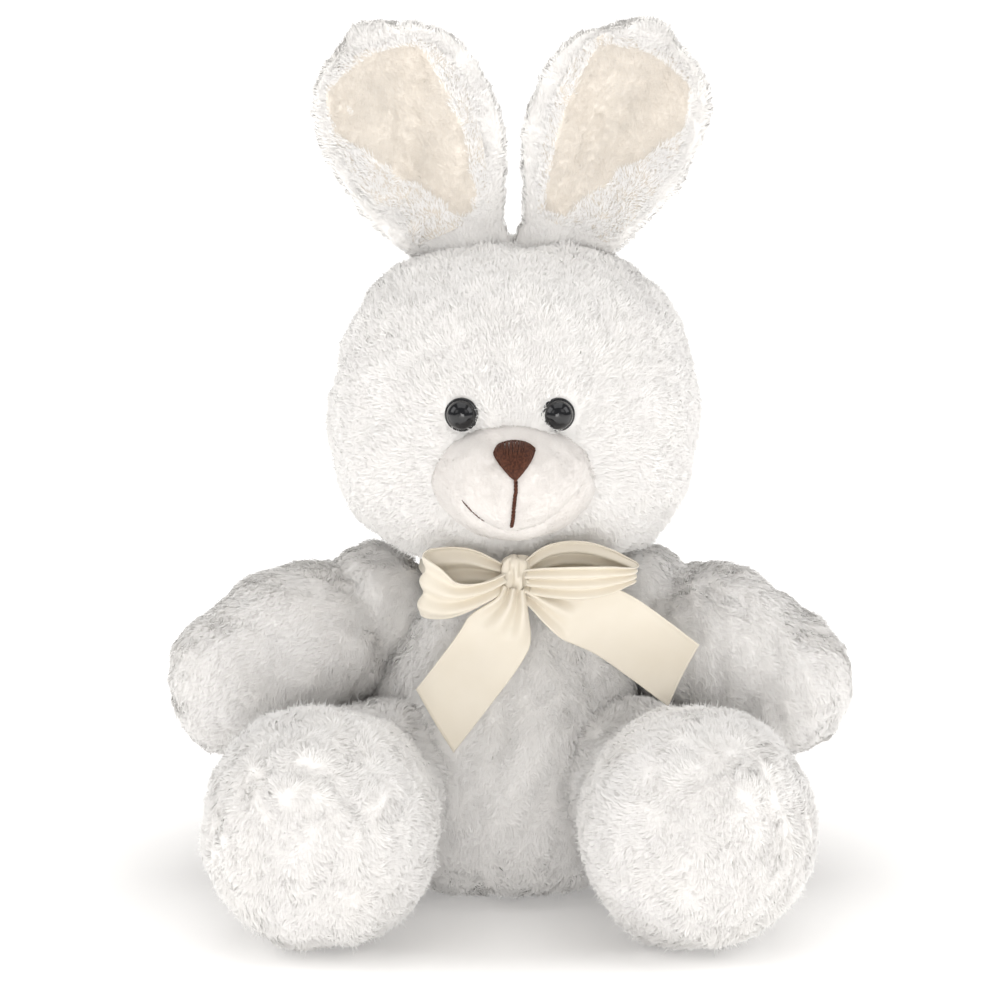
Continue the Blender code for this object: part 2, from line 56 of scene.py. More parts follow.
# Turned outlines of the sewn parts: (radius, height), close to the CAD source with pile to come.
BODY_OUTLINE = (
    (0.0, 0.109), (0.0054, 0.1083), (0.0105, 0.1062), (0.0148, 0.1028), (0.0182, 0.0985),
    (0.0203, 0.0934), (0.025, 0.088), (0.0305, 0.08), (0.0355, 0.0695), (0.04, 0.0575),
    (0.045, 0.0455), (0.0485, 0.033), (0.048, 0.0225), (0.044, 0.013), (0.037, 0.0062),
    (0.027, 0.0022), (0.015, 0.0003), (0.0, 0.0),
)
HEAD_OUTLINE = (
    (0.0, 0.1905), (0.018, 0.1893), (0.0305, 0.185), (0.0412, 0.1766), (0.0482, 0.163),
    (0.0518, 0.1495), (0.0527, 0.139), (0.0512, 0.127), (0.0472, 0.1165), (0.039, 0.1075),
    (0.026, 0.1028), (0.012, 0.1012), (0.0, 0.101),
)
HEAD_CENTRE = np.array((0.002, -0.006, 0.0))
HEAD_DEPTH_RATIO = 0.87
NECK_PIVOT = np.array((0.0, 0.0, 0.088))

ARM_PIVOT = (0.039, 0.0, 0.082)
ARM_END = (0.081, -0.012, 0.0615)
ARM_OUTLINE = (
    (0.0, 0.067), (0.008, 0.0655), (0.0145, 0.061), (0.0185, 0.054), (0.021, 0.044),
    (0.0226, 0.033), (0.0228, 0.023), (0.0205, 0.0145), (0.0158, 0.0063), (0.017, 0.0),
    (0.0154, -0.0072), (0.011, -0.013), (0.0055, -0.0161), (0.0, -0.017),
)
LEG_PIVOT = (0.038, -0.031, 0.0335)
LEG_END = (0.0545, -0.085, 0.0345)
LEG_OUTLINE = (
    (0.0, 0.0812), (0.0085, 0.0806), (0.0155, 0.0788), (0.021, 0.0756),
    (0.0254, 0.071), (0.0291, 0.0643), (0.0315, 0.0555), (0.0315, 0.046), (0.0285, 0.034),
    (0.025, 0.021), (0.0225, 0.009), (0.024, 0.0), (0.0222, -0.0092), (0.017, -0.017),
    (0.008, -0.0226), (0.0, -0.024),
)
TAIL_CENTRE = np.array((0.0, 0.056, 0.03))
TAIL_RADIUS = 0.015

EAR_LENGTH = 0.069
EAR_FOOT = 0.12
EAR_SETBACK = 0.0012
EAR_PILE_LENGTH = 0.0025
EAR_HALF_WIDTHS = (0.0125, 0.0158, 0.0196, 0.0223, 0.0236, 0.0238, 0.0222, 0.0176, 0.008)
EAR_LEAN_DEG = {"left": 22.0, "right": 24.0}
EAR_PIVOT = {side: np.array((0.0012 + sign * 0.016, -0.004, 0.1937))
             for side, sign in SIDES.items()}

MUZZLE_CENTRE = np.array((0.0016, -0.046, 0.1295))
EYE_CENTRES = {side: sum(np.array(corner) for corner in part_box("eye_" + side)) / 2
               for side in SIDES}
EYE_YAW_DEG = 10.0

PILE_LIFT = 0.0013
PILE_LENGTH = 0.0031
PILE_WIDTH = 0.00023
PILE_DENSITY = 6.0
ROOT_DEPTH = 0.0004

# Bare patches of fabric, hidden by what is sewn there.
EYE_PATCH = 0.0046
NECK_PATCH = 0.0215
ARM_PATCH = 0.0165
LEG_PATCH = 0.0225
TAIL_PATCH = 0.0145
SEAT_PATCH_HEIGHT = 0.0008
FACE_DEPTH = -0.02


# ---------------- numbers and noise

def unit(vectors):
    """Vectors of length one."""
    return vectors / np.maximum(np.linalg.norm(vectors, axis=-1, keepdims=True), 1e-12)


def smooth_line(points, per_span):
    """Catmull-Rom points through the given ones."""
    points = np.array(points, float)
    ends = np.vstack([2 * points[0] - points[1], points, 2 * points[-1] - points[-2]])
    result = []
    for index in range(len(points) - 1):
        before, start, stop, after = ends[index:index + 4]
        for t in np.arange(per_span) / per_span:
            result.append(0.5 * (
                2 * start + (stop - before) * t
                + (2 * before - 5 * start + 4 * stop - after) * t ** 2
                + (3 * start - before - 3 * stop + after) * t ** 3))
    result.append(points[-1])
    return np.array(result)


def waves(points, wavelength, seed, count=7):
    """Smooth noise of unit spread over space."""
    source = np.random.default_rng(seed)
    total = np.zeros(len(points))
    for _ in range(count):
        direction = unit(source.normal(size=3))
        pitch = math.tau / (wavelength * source.uniform(0.7, 1.5))
        total += np.sin(points @ direction * pitch + source.uniform(0.0, math.tau))
    return total / math.sqrt(count / 2)


def turns(count):
    """Angles at even steps once round."""
    return np.arange(count) * math.tau / count


def tuft_centres(points, spacing, seed):
    """For each point, the nearest centre of a scattered lattice, and a random number for it."""
    cell = np.floor(points / spacing).astype(np.int64)
    nearest = np.full(len(points), np.inf)
    centres = np.zeros_like(points)
    luck = np.zeros(len(points))
    for step in itertools.product((-1, 0, 1), repeat=3):
        here = cell + np.array(step)
        code = (here[:, 0] * 73856093) ^ (here[:, 1] * 19349663) ^ (here[:, 2] * 83492791) ^ seed
        shares = []
        for _ in range(4):
            code = (code * 1103515245 + 12345) & 0x7FFFFFFF
            shares.append(((code >> 8) & 0xFFFF) / 65536.0)
        place = (here + np.stack(shares[:3], 1)) * spacing
        distance = ((place - points) ** 2).sum(1)
        closer = distance < nearest
        nearest[closer] = distance[closer]
        centres[closer] = place[closer]
        luck[closer] = shares[3][closer]
    return centres, luck


def hump(distance, reach):
    """One at no distance, falling smoothly to zero at the reach."""
    share = np.clip(1.0 - distance / reach, 0.0, 1.0)
    return share * share * (3 - 2 * share)


# ---------------- meshes

def make_mesh(name, vertices, faces, material):
    """An object from arrays of vertices and of faces with a fixed number of corners."""
    mesh = bpy.data.meshes.new(name)
    vertices = np.asarray(vertices, np.float32)
    if not isinstance(faces, list):
        faces = [faces]
    corners = np.concatenate([group.ravel() for group in faces]).astype(np.int32)
    sizes = np.concatenate([np.full(len(group), group.shape[1]) for group in faces])
    starts = np.concatenate([[0], np.cumsum(sizes)[:-1]]).astype(np.int32)
    mesh.vertices.add(len(vertices))
    mesh.vertices.foreach_set("co", vertices.ravel())
    mesh.loops.add(len(corners))
    mesh.loops.foreach_set("vertex_index", corners)
    mesh.polygons.add(len(sizes))
    mesh.polygons.foreach_set("loop_start", starts)
    mesh.update(calc_edges=True)
    mesh.polygons.foreach_set("use_smooth", np.full(len(sizes), True))
    mesh.materials.append(material)
    obj = bpy.data.objects.new(name, mesh)
    bpy.context.scene.collection.objects.link(obj)
    return obj


def grid_faces(rows, columns, wrap=False):
    """Quads of a grid of vertices stored row by row."""
    width = columns if wrap else columns - 1
    row, column = np.meshgrid(np.arange(rows - 1), np.arange(width), indexing="ij")
    right = (column + 1) % columns
    quads = np.stack([
        row * columns + column, row * columns + right,
        (row + 1) * columns + right, (row + 1) * columns + column], -1)
    return quads.reshape(-1, 4)


def grid_points(x, y, z):
    """Points of a grid, row by row."""
    return np.stack([x, y, z], -1).reshape(-1, 3)


def vertex_normals(vertices, faces):
    """Area-weighted normals of a quad mesh."""
    a, b, c, d = (vertices[faces[:, k]] for k in range(4))
    face = np.cross(c - a, d - b)
    normals = np.zeros_like(vertices)
    for k in range(4):
        np.add.at(normals, faces[:, k], face)
    return unit(normals)


def aim(start, end):
    """Matrix that takes +Z to the direction from start to end, +X down, and the origin to start."""
    start, end = np.array(start, float), np.array(end, float)
    z_axis = unit(end - start)
    y_axis = unit(np.cross(z_axis, (0.0, 0.0, -1.0)))
    x_axis = np.cross(y_axis, z_axis)
    matrix = np.eye(4)
    matrix[:3, 0], matrix[:3, 1], matrix[:3, 2], matrix[:3, 3] = x_axis, y_axis, z_axis, start
    return matrix


def placed(points, matrix):
    """Points moved by a 4 x 4 matrix."""
    return points @ matrix[:3, :3].T + matrix[:3, 3]


def mirrored(point, side):
    """A point of the left side, on the given side."""
    return np.array(point) * (SIDES[side], 1.0, 1.0)


def plush_relief(points, seed):
    """Soft lumps of a stuffed fabric, and the finer unevenness of the pile's own mass."""
    return (PILE_LIFT + 0.0005 * waves(points, 0.022, seed) + 0.00019 * waves(points, 0.0075, seed + 1)
            + 0.00009 * waves(points, 0.0042, seed + 2))


class Fabric:
    """A sewn surface: its vertices, quads and normals, for a mesh and for the pile on it."""

    def __init__(self, vertices, faces):
        self.vertices = vertices
        self.faces = faces
        self.normals = vertex_normals(vertices, faces)

    def shift(self, amount):
        """Move each vertex along its normal."""
        self.vertices = self.vertices + self.normals * np.asarray(amount)[:, None]
        self.normals = vertex_normals(self.vertices, self.faces)

    def move(self, offsets):
        """Move each vertex by its offset."""
        self.vertices = self.vertices + offsets
        self.normals = vertex_normals(self.vertices, self.faces)

    def rest_on_floor(self):
        """Flatten what would sink under the floor."""
        self.vertices[:, 2] = np.maximum(self.vertices[:, 2], FLOOR_CLEARANCE)

    def roots(self, density, seed, keep=None):
        """Scattered points on the surface with their normals."""
        source = np.random.default_rng(seed)
        triangles = np.vstack([self.faces[:, (0, 1, 2)], self.faces[:, (0, 2, 3)]])
        a, b, c = (self.vertices[triangles[:, k]] for k in range(3))
        area = np.linalg.norm(np.cross(b - a, c - a), axis=1) / 2
        count = int(area.sum() * density * 1e6 * DETAIL)
        chosen = source.choice(len(triangles), count, p=area / area.sum())
        s, t = source.random(count), source.random(count)
        over = s + t > 1
        s[over], t[over] = 1 - s[over], 1 - t[over]
        shares = np.stack([1 - s - t, s, t], 1)
        corner = triangles[chosen]
        points = (self.vertices[corner] * shares[:, :, None]).sum(1)
        normals = unit((self.normals[corner] * shares[:, :, None]).sum(1))
        if keep is not None:
            kept = keep(points)
            points, normals = points[kept], normals[kept]
        return points, normals


def facing_out(points, faces, middle=None):
    """A fabric whose quads face away from its middle."""
    fabric = Fabric(points, faces)
    if ((points - (points.mean(0) if middle is None else middle)) * fabric.normals).sum() < 0:
        fabric = Fabric(points, faces[:, ::-1])
    return fabric


def capped(fabric, rows, around):
    """The faces of a turned fabric with its two open ends closed."""
    cap = np.arange(around)[None, :]
    return [fabric.faces, cap, cap + (rows - 1) * around]


def turned(outline, around, per_span, matrix=None):
    """A fabric turned about Z from an outline that starts and ends on the axis, top first."""
    line = smooth_line(outline, per_span)
    line[:, 0] = np.maximum(line[:, 0], 0.00002)
    if line[0, 1] < line[-1, 1]:
        line = line[::-1]
    angle = turns(around)
    x = line[:, :1] * np.cos(angle)
    y = line[:, :1] * np.sin(angle)
    z = np.repeat(line[:, 1:], around, 1)
    points = grid_points(x, y, z)
    if matrix is not None:
        points = placed(points, matrix)
    return facing_out(points, grid_faces(len(line), around, wrap=True)[:, ::-1])


# ---------------- pile

def grow_pile(name, body, points, normals, comb, material, length, width, seed,
              root_angle=34.0, tip_angle=10.0, tuft=0.0038, gather=0.24, soft=0.95, ruffle=0.36,
              wild=0.05):
    """Leaves of fibre that rise from the roots, bend over along the comb and draw into tufts."""
    source = np.random.default_rng(seed)
    count = len(points)
    comb = comb + ruffle * np.stack(
        [waves(points, 0.011, seed + k) for k in (1, 2, 3)], 1)
    comb = comb - normals * (comb * normals).sum(1, keepdims=True)
    comb = unit(comb)
    sideways = np.cross(normals, comb)
    swing = source.normal(0.0, 0.28, count)[:, None]
    comb = comb * np.cos(swing) + sideways * np.sin(swing)

    centres, luck = tuft_centres(points, tuft, seed + 11)
    inward = centres - points
    inward -= normals * (inward * normals).sum(1, keepdims=True)
    size = length * source.uniform(0.72, 1.18, count) * (0.88 + 0.24 * luck)
    size = size * (1.0 + 0.1 * waves(points, 0.016, seed + 5))
    rise = np.radians(root_angle + source.normal(0.0, 10.0, count) + 10.0 * (luck - 0.5))
    fall = np.radians(tip_angle + source.normal(0.0, 10.0, count))
    loose = source.random(count) < wild
    rise[loose] += math.radians(16.0)
    fall[loose] += math.radians(34.0)
    size[loose] *= 1.25
    half = (size / 2)[:, None]
    middle = points + half * (comb * np.cos(rise)[:, None] + normals * np.sin(rise)[:, None])
    middle += inward * gather * 0.4
    tip = middle + half * (comb * np.cos(fall)[:, None] + normals * np.sin(fall)[:, None])
    tip += inward * gather * 0.6

    twist = source.normal(0.0, 0.45, count)[:, None]
    across = unit(np.cross(tip - points, normals))
    across = unit(across * np.cos(twist) + normals * np.sin(twist))
    thin = np.where(loose, 0.6, 1.0)
    reach = across * (width / 2 * thin * source.uniform(0.7, 1.3, count))[:, None]
    vertices = np.stack([points - normals * ROOT_DEPTH, middle - reach, middle + reach, tip], 1)
    vertices[..., 2] = np.maximum(vertices[..., 2], FLOOR_CLEARANCE)
    first = (np.arange(count) * 4)[:, None]
    faces = np.concatenate([first + (0, 2, 1), first + (1, 2, 3)], 1).reshape(-1, 3)
    pile = make_mesh(name, vertices.reshape(-1, 3), faces, material)

    # U is each leaf's own tone, at random and in broad patches; V runs from root to tip, for the
    # painted shade at the roots.
    shade = np.clip(0.5 + 0.16 * waves(points, 0.02, seed + 8)
                    + source.normal(0.0, 0.14, count), 0.02, 0.98)
    height = np.array((0.03, 0.5, 0.5, 0.97))
    along = np.broadcast_to(height, (count, 4))
    places = np.stack([np.repeat(shade[:, None], 4, 1), along], -1).reshape(-1, 2)
    layer = pile.data.uv_layers.new(name="OFBake")
    layer.data.foreach_set("uv", places[faces.ravel()].astype(np.float32).ravel())

    own = unit(np.cross(across, tip - points))
    own *= np.sign((own * normals).sum(1, keepdims=True) + 1e-9)
    shading = unit(normals * soft + own * (1 - soft))
    pile.data.normals_split_custom_set_from_vertices(
        np.repeat(shading.astype(np.float32), 4, 0))
    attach(pile, body)
    return pile


# ---------------- materials

def new_material(name):
    """A node material with its Principled shader."""
    material = bpy.data.materials.new(name)
    material.use_nodes = True
    tree = material.node_tree
    return material, tree, tree.nodes["Principled BSDF"]


def add_node(tree, kind, values=None):
    """A new shader node, with values for its inputs by name."""
    node = tree.nodes.new("ShaderNode" + kind)
    set_values(node, values or {})
    return node


def set_values(node, values):
    """Give a node's inputs their values."""
    for key, value in values.items():
        node.inputs[key].default_value = value


def wire(tree, source, output, target, entry):
    """Link an output of one node to an input of another."""
    tree.links.new(source.outputs[output], target.inputs[entry])


def ramp(tree, stops):
    """A colour ramp."""
    node = add_node(tree, "ValToRGB")
    elements = node.color_ramp.elements
    while len(elements) < len(stops):
        elements.new(0.5)
    for element, (place, colour) in zip(elements, stops):
        element.position = place
        element.color = (*colour, 1.0)
    return node


def pile_material(name, root, tip, dull, sheen):
    """Pile whose darker, warmer roots are painted shade; each leaf is a little lighter or duller."""
    material, tree, shader = new_material(name)
    layer = add_node(tree, "UVMap")
    layer.uv_map = "OFBake"
    parts = add_node(tree, "SeparateXYZ")
    wire(tree, layer, "UV", parts, "Vector")
    # The ramp from root to tip darkens the roots as painted shade deep in the pile.
    along = ramp(tree, ((0.0, root), (0.45, tuple(0.35 * a + 0.65 * b for a, b in zip(root, tip))),
                        (1.0, tip)))
    wire(tree, parts, "Y", along, "Fac")
    each = ramp(tree, ((0.1, dull), (0.9, (1.0, 1.0, 1.0))))
    wire(tree, parts, "X", each, "Fac")
    mix = add_node(tree, "Mix")
    mix.data_type = "RGBA"
    mix.blend_type = "MULTIPLY"
    set_values(mix, {0: 1.0})
    wire(tree, along, "Color", mix, 6)
    wire(tree, each, "Color", mix, 7)
    wire(tree, mix, 2, shader, "Base Color")
    set_values(shader, {"Roughness": 0.9, "Specular IOR Level": 0.15, "Sheen Weight": sheen,
                        "Sheen Roughness": 0.5})
    return material


def grain_material(name, light, dark, scale, roughness, bump=0.0, sheen=0.0, specular=0.3):
    """A surface whose colour and relief follow a fine noise."""
    material, tree, shader = new_material(name)
    place = add_node(tree, "TexCoord")
    noise = add_node(tree, "TexNoise", {"Scale": scale, "Detail": 4.0})
    wire(tree, place, "Object", noise, "Vector")
    colours = ramp(tree, ((0.35, dark), (0.65, light)))
    wire(tree, noise, "Fac", colours, "Fac")
    wire(tree, colours, "Color", shader, "Base Color")
    set_values(shader, {"Roughness": roughness, "Specular IOR Level": specular,
                        "Sheen Weight": sheen})
    if bump:
        relief = add_node(tree, "Bump", {"Strength": 0.6, "Distance": bump})
        wire(tree, noise, "Fac", relief, "Height")
        wire(tree, relief, "Normal", shader, "Normal")
    return material


# Each pile's first colour is its root, darker and warmer as painted shade deep in the pile. Each
# backing is the fabric's own tone with a random grain, set a little darker than the pile tips as
# painted shade between the leaves.
FUR = pile_material("white_pile", (0.945, 0.93, 0.91), (0.975, 0.966, 0.952),
                    (0.975, 0.972, 0.965), 0.25)
BACKING = grain_material("fur_backing", (0.955, 0.943, 0.925), (0.935, 0.92, 0.9), 900.0, 0.95,
                         bump=0.0003, sheen=0.1)
# The white velour and its backing are set greyer than the fur: painted shade that stands for the
# self-shadow the short velour does not cast.
VELOUR = pile_material("white_velour_pile", (0.81, 0.775, 0.74), (0.86, 0.835, 0.81),
                       (0.965, 0.955, 0.945), 0.15)
VELOUR_BACKING = grain_material("white_velour_backing", (0.84, 0.81, 0.78), (0.81, 0.775, 0.745),
                                1400.0, 0.9, bump=0.0002, sheen=0.2)
# The cream lining is its own cream, set darker as painted shade of the ear's cup.
CREAM = pile_material("cream_velour_pile", (0.8, 0.74, 0.66), (0.845, 0.8, 0.735),
                      (0.97, 0.955, 0.935), 0.15)
CREAM_BACKING = grain_material("cream_velour_backing", (0.85, 0.8, 0.725), (0.82, 0.76, 0.68),
                               1400.0, 0.9, bump=0.0002, sheen=0.2)


# ---------------- furred parts

def fit(obj, body, slot, *nodes):
    """The body that a piece rides and the CAD nodes it stands for. Its material slot is not used."""
    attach(obj, body)
    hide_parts(*nodes)


def all_along(direction):
    """A comb that runs one way everywhere."""
    return lambda roots: np.tile(direction, (len(roots), 1))


def fabric_object(name, fabric, body, material, *nodes, slot="white_fur", fill=0.9):
    """The fabric of a stuffed part, which stands for its CAD skin and stuffing."""
    obj = make_mesh(name, fabric.vertices, fabric.faces, material)
    fit(obj, body, slot, *nodes)


def cover_with_pile(name, fabric, body, density, seeds, keep, comb_of, length_of=None, **style):
    """Grow the white pile of a part, as one mesh for each seed."""
    for index, seed in enumerate(seeds):
        roots, normals = fabric.roots(density / len(seeds), seed, keep)
        length = PILE_LENGTH if length_of is None else length_of(roots)
        title = name if len(seeds) == 1 else f"{name}_{index + 1}"
        pile = grow_pile(title, body, roots, normals, comb_of(roots), FUR, length, PILE_WIDTH,
                         seed + 1, **style)


def from_point(points, centre):
    """Directions away from a point."""
    return unit(points - np.array(centre))


def build_head():
    """The head: a soft ball with fuller cheeks, hollows round the eyes and pile combed back."""
    matrix = np.diag((1.0, HEAD_DEPTH_RATIO, 1.0, 1.0))
    matrix[:3, 3] = HEAD_CENTRE
    head = turned(HEAD_OUTLINE, 240, 12, matrix)
    points = head.vertices
    relief = plush_relief(points, 31)
    for side, sign in SIDES.items():
        cheek = np.array((HEAD_CENTRE[0] + sign * 0.034, -0.036, 0.122))
        relief += 0.0016 * hump(np.linalg.norm(points - cheek, axis=1), 0.026)
        relief -= 0.0014 * hump(np.linalg.norm(points - EYE_CENTRES[side], axis=1), 0.009)
    head.shift(relief)
    fabric_object("head_fabric", head, "head", BACKING, "head_skin", "head_stuffing")

    def keep(roots):
        kept = np.ones(len(roots), bool)
        for centre in EYE_CENTRES.values():
            flat = (roots - centre)[:, (0, 2)]
            kept &= (np.linalg.norm(flat, axis=1) > EYE_PATCH) | (roots[:, 1] > FACE_DEPTH)
        muzzle = (roots - MUZZLE_CENTRE)[:, (0, 2)] / (0.0205, 0.015)
        kept &= (np.linalg.norm(muzzle, axis=1) > 1.0) | (roots[:, 1] > FACE_DEPTH)
        kept &= np.linalg.norm(roots - NECK_PIVOT, axis=1) > NECK_PATCH
        return kept

    def comb_of(roots):
        comb = from_point(roots, (0.0016, -0.066, 0.136))
        back = np.clip((roots[:, 1] + 0.045) / 0.05, 0.0, 1.0)[:, None]
        comb = comb + np.array((0.0, 0.0, -0.55)) * back
        comb += np.array((0.0, 0.0, 0.35)) * hump(np.abs(roots[:, 2] - 0.175), 0.03)[:, None]
        for centre in EYE_CENTRES.values():
            away = roots - centre
            near = hump(np.linalg.norm(away, axis=1), 0.012)[:, None]
            comb = comb * (1 - near) + unit(away) * near
        return comb

    def length_of(roots):
        size = np.full(len(roots), PILE_LENGTH)
        for centre in EYE_CENTRES.values():
            size *= 1 - 0.25 * hump(np.linalg.norm(roots - centre, axis=1), 0.01)
        return size

    cover_with_pile("head_pile", head, "head", PILE_DENSITY, (101, 202, 303), keep, comb_of,
                    length_of)


def build_torso():
    """The torso: pear-shaped, drawn in at the neck, with pile combed down in soft waves."""
    torso = turned(BODY_OUTLINE, 220, 12)
    points = torso.vertices
    angle = np.arctan2(points[:, 0], -points[:, 1])
    relief = plush_relief(points, 41)
    relief += 0.0005 * np.sin(angle * 9 + 2.0 * np.sin(points[:, 2] * 60)) * hump(
        np.abs(points[:, 2] - 0.055), 0.045)
    relief *= np.clip((0.1 - points[:, 2]) / 0.004, 0.0, 1.0)
    torso.shift(relief)
    torso.rest_on_floor()
    fabric_object("torso_fabric", torso, "torso", BACKING, "body_skin", "body_stuffing")

    def keep(roots):
        kept = (roots[:, 2] < 0.1) & (roots[:, 2] > SEAT_PATCH_HEIGHT)
        for side in SIDES:
            kept &= np.linalg.norm(roots - mirrored(ARM_PIVOT, side), axis=1) > ARM_PATCH
            kept &= np.linalg.norm(roots - mirrored(LEG_PIVOT, side), axis=1) > LEG_PATCH
        return kept & (np.linalg.norm(roots - TAIL_CENTRE, axis=1) > TAIL_PATCH)

    def comb_of(roots):
        comb = np.tile((0.0, -0.15, -1.0), (len(roots), 1))
        comb[:, 0] += 0.5 * np.sin(roots[:, 0] * 500 + 4 * np.sin(roots[:, 2] * 90))
        return comb

    cover_with_pile("torso_pile", torso, "torso", 5.6, (111, 212), keep, comb_of,
                    tuft=0.0045, gather=0.34)


def build_arms():
    """The arms: plump, hanging out to the sides, with the pile combed to the paws."""
    for side in SIDES:
        matrix = aim(mirrored(ARM_PIVOT, side), mirrored(ARM_END, side))
        inverse = np.linalg.inv(matrix)
        arm = turned(ARM_OUTLINE, 150, 12, matrix)
        seed = 51 if side == "left" else 56
        arm.shift(plush_relief(arm.vertices, seed))
        fabric_object(f"arm_fabric_{side}", arm, "arm_" + side, BACKING,
                      "arm_skin_" + side, "arm_stuffing_" + side)
        down_limb = matrix[:3, 2] + (0.0, 0.0, -0.5)
        cover_with_pile(
            "arm_pile_" + side, arm, "arm_" + side, PILE_DENSITY, (seed * 10,),
            lambda roots: placed(roots, inverse)[:, 2] > -0.0145, all_along(down_limb))


def build_legs():
    """The legs: short, ending in big round feet that point forward, each with a round sole."""
    for side in SIDES:
        matrix = aim(mirrored(LEG_PIVOT, side), mirrored(LEG_END, side))
        inverse = np.linalg.inv(matrix)
        leg = turned(LEG_OUTLINE, 200, 12, matrix)
        seed = 61 if side == "left" else 66
        local = placed(leg.vertices, inverse)
        seam = np.hypot(local[:, 0], local[:, 1])
        relief = plush_relief(leg.vertices, seed)
        relief -= 0.0007 * hump(np.abs(seam - 0.0212), 0.003) * (local[:, 2] > 0.06)
        leg.shift(relief)
        thigh = 0.003 * hump(np.abs(local[:, 2] - 0.026), 0.034)
        leg.move(thigh[:, None] * (SIDES[side], 0.0, 0.0))
        leg.rest_on_floor()
        fabric_object(f"leg_fabric_{side}", leg, "leg_" + side, BACKING,
                      "leg_skin_" + side, "leg_stuffing_" + side, "foot_sole_" + side)

        def keep(roots):
            return (placed(roots, inverse)[:, 2] > -0.016) & (roots[:, 2] > SEAT_PATCH_HEIGHT)

        def comb_of(roots):
            place = placed(roots, inverse)
            spread = place * (1.0, 1.0, 0.0)
            outward = unit(spread) @ matrix[:3, :3].T
            sole = hump(np.hypot(place[:, 0], place[:, 1]), 0.034)[:, None] * (
                place[:, 2] > 0.06)[:, None]
            return sole * (0.2 * outward + (0.0, 0.0, -0.8)) + (1 - sole) * (
                matrix[:3, 2] * -0.8 + (0.0, 0.0, -0.35))

        cover_with_pile("leg_pile_" + side, leg, "leg_" + side, PILE_DENSITY, (seed * 10,), keep,
                        comb_of)


def build_tail():
    """The round tail, pile all over."""
    line = [(TAIL_RADIUS * math.sin(a), TAIL_RADIUS * math.cos(a))
            for a in np.linspace(0.0, math.pi, 13)]
    matrix = np.eye(4)
    matrix[:3, 3] = TAIL_CENTRE
    tail = turned(line, 80, 5, matrix)
    tail.shift(plush_relief(tail.vertices, 71))
    fabric_object("tail_fabric", tail, "torso", BACKING, "tail_skin", "tail_stuffing")
    cover_with_pile("tail_pile", tail, "torso", PILE_DENSITY, (720,),
                    lambda roots: roots[:, 1] > 0.047, all_along((0.0, 0.7, -0.4)),
                    root_angle=58.0, tip_angle=28.0)


# ---------------- ears

def ear_matrix(side):
    """Where an ear stands: leaning outward from its hinge. Its local +X is the outer side."""
    lean = SIDES[side] * math.radians(EAR_LEAN_DEG[side])
    matrix = np.eye(4)
    matrix[:3, :3] = np.array(Matrix.Rotation(lean, 3, "Y")) @ np.diag((SIDES[side], 1.0, 1.0))
    matrix[:3, 3] = EAR_PIVOT[side]
    return matrix


def ear_line(share):
    """The ear's half width at a share of its length."""
    widths = smooth_line([(k, w) for k, w in enumerate(EAR_HALF_WIDTHS)], 8)
    return np.interp(share * (len(EAR_HALF_WIDTHS) - 1), widths[:, 0], widths[:, 1])


def ear_across(place, share, side):
    """Distance across the ear from its middle line; one ear is fuller on its inner side."""
    fuller = 1.0 + 0.09 * (side == "right") * np.clip(-place, 0.0, 1.0)
    return ear_line(share) * place * fuller


def ear_thickness(share):
    """Half the thickness of the ear's padding, which closes at the tip."""
    return 0.003 * np.sqrt(np.maximum(1 - share ** 6, 0.0))


def ear_points(place, share, side, forward):
    """Points of an ear in its own frame."""
    height = share * EAR_LENGTH - 0.004 * place ** 2 * share ** 6
    return grid_points(ear_across(place, share, side), forward, height)


def ear_bend(place, share):
    """How far forward (negative Y) the ear stands: cupped, creased and rolled in at its foot."""
    cup = 0.0075 * np.clip(2.5 * share, 0.0, 1.0) * np.abs(place) ** 1.7
    roll = 0.006 * hump(np.abs(share - 0.22), 0.3) * np.clip(place, 0.0, 1.0) ** 1.5
    crease = 0.0018 * hump(np.abs(place + 0.1 - 0.35 * (share - 0.4)), 0.3) * hump(
        np.abs(share - 0.45), 0.5)
    return -cup - roll + crease


def lined(place, share):
    """Where the smooth lining shows: the fur of the inner rim and the outer foot frame it."""
    low = 0.08 + 0.52 * np.clip(place + 0.25, 0.0, 1.2) ** 1.2
    return (share > low) & (share < 0.86 - 0.1 * place ** 2) & (place > -0.62) & (place < 0.8)


